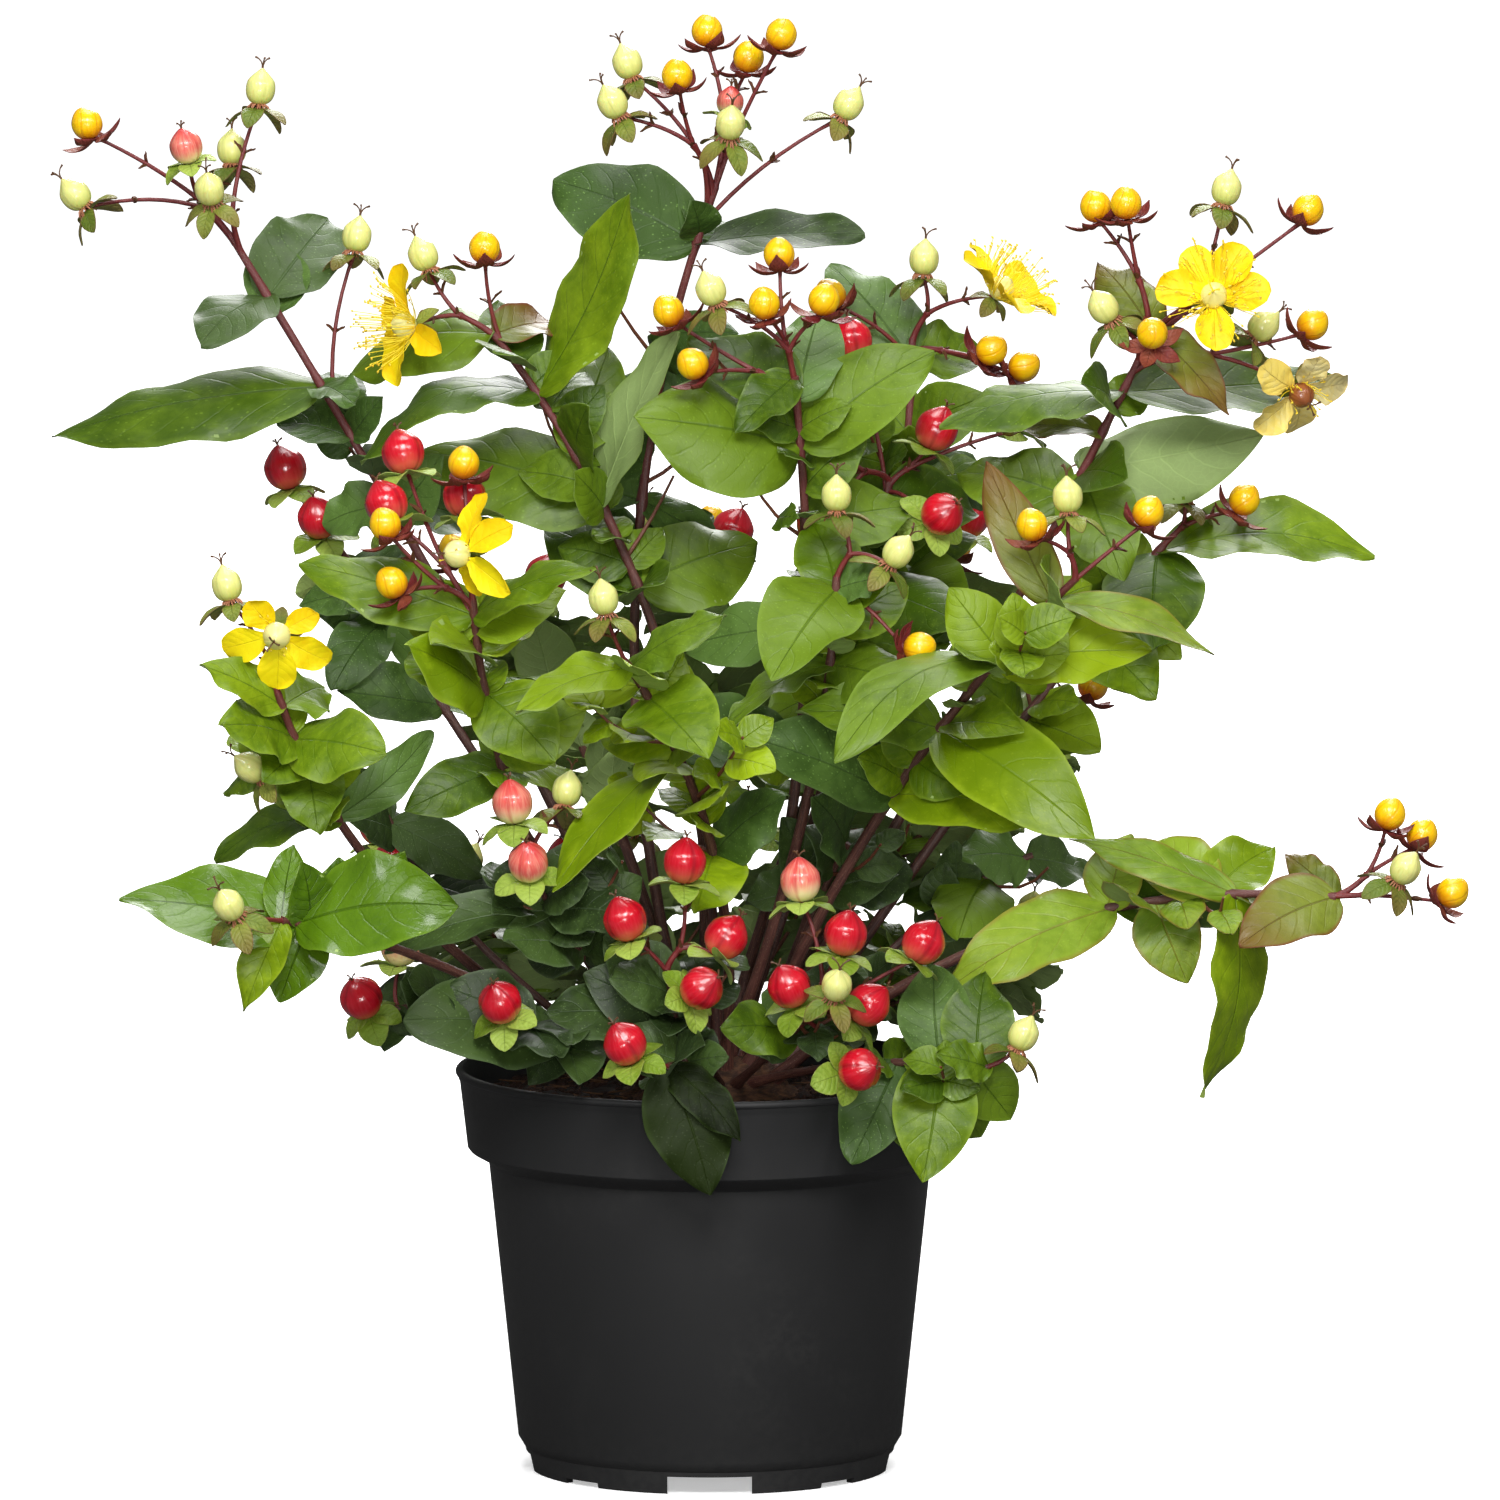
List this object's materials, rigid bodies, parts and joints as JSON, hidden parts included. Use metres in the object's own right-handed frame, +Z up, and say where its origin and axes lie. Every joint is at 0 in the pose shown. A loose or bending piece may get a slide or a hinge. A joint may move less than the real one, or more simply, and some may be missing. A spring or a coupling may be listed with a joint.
{
  "type": "potted st johns wort",
  "caption": "Bushy potted shrub with arching canes, opposite oval leaves, cup-shaped yellow flowers, amber buds and egg-shaped berries, in a round black nursery pot filled with peat.",
  "frame": {"origin": "middle of the pot's underside, in the plane of the floor that it stands on", "axes": "+Z up; the plant is seen in the picture from -Y, with +X to the right"},
  "size_m": [0.4715, 0.3409, 0.484],
  "materials": {
    "pot_plastic": "satin",
    "peat": "matte",
    "woody_stock": "matte",
    "cane_bark": "satin",
    "foliage": "satin"
  },
  "bodies": {
    "root": {"bough_back_centre": "cane_bark", "bough_back_far_right": "cane_bark", "bough_back_left": "cane_bark", "bough_back_right": "cane_bark", "bough_berry_back": "cane_bark", "bough_centre": "cane_bark", "bough_centre_right": "cane_bark", "bough_far_left": "cane_bark", "bough_far_right": "cane_bark", "bough_front_centre": "cane_bark", "bough_front_left": "cane_bark", "bough_left_berry": "cane_bark", "bough_left_fan": "cane_bark", "bough_left_mid": "cane_bark", "bough_low_left": "cane_bark", "bough_right_back": "cane_bark", "bough_right_fan": "cane_bark", "bough_right_mid": "cane_bark", "bough_right_tall": "cane_bark", "bough_tallest": "cane_bark", "crown": "woody_stock", "foliage_back_centre": "foliage", "foliage_back_far_right": "foliage", "foliage_back_left": "foliage", "foliage_back_low": "foliage", "foliage_back_low_far": "foliage", "foliage_back_low_left": "foliage", "foliage_back_low_right": "foliage", "foliage_back_right": "foliage", "foliage_berry_back": "foliage", "foliage_centre": "foliage", "foliage_centre_low": "foliage", "foliage_centre_right": "foliage", "foliage_far_left": "foliage", "foliage_far_right": "foliage", "foliage_front_centre": "foliage", "foliage_front_left": "foliage", "foliage_front_left_low": "foliage", "foliage_front_low": "foliage", "foliage_front_low_right": "foliage", "foliage_left_berry": "foliage", "foliage_left_fan": "foliage", "foliage_left_low": "foliage", "foliage_left_mid": "foliage", "foliage_left_rim": "foliage", "foliage_left_small": "foliage", "foliage_low_left": "foliage", "foliage_right_back": "foliage", "foliage_right_fan": "foliage", "foliage_right_low": "foliage", "foliage_right_mid": "foliage", "foliage_right_tall": "foliage", "foliage_rim_left": "foliage", "foliage_rim_right": "foliage", "foliage_tallest": "foliage", "peat": "peat", "pot": "pot_plastic"}
  },
  "joints": []
}
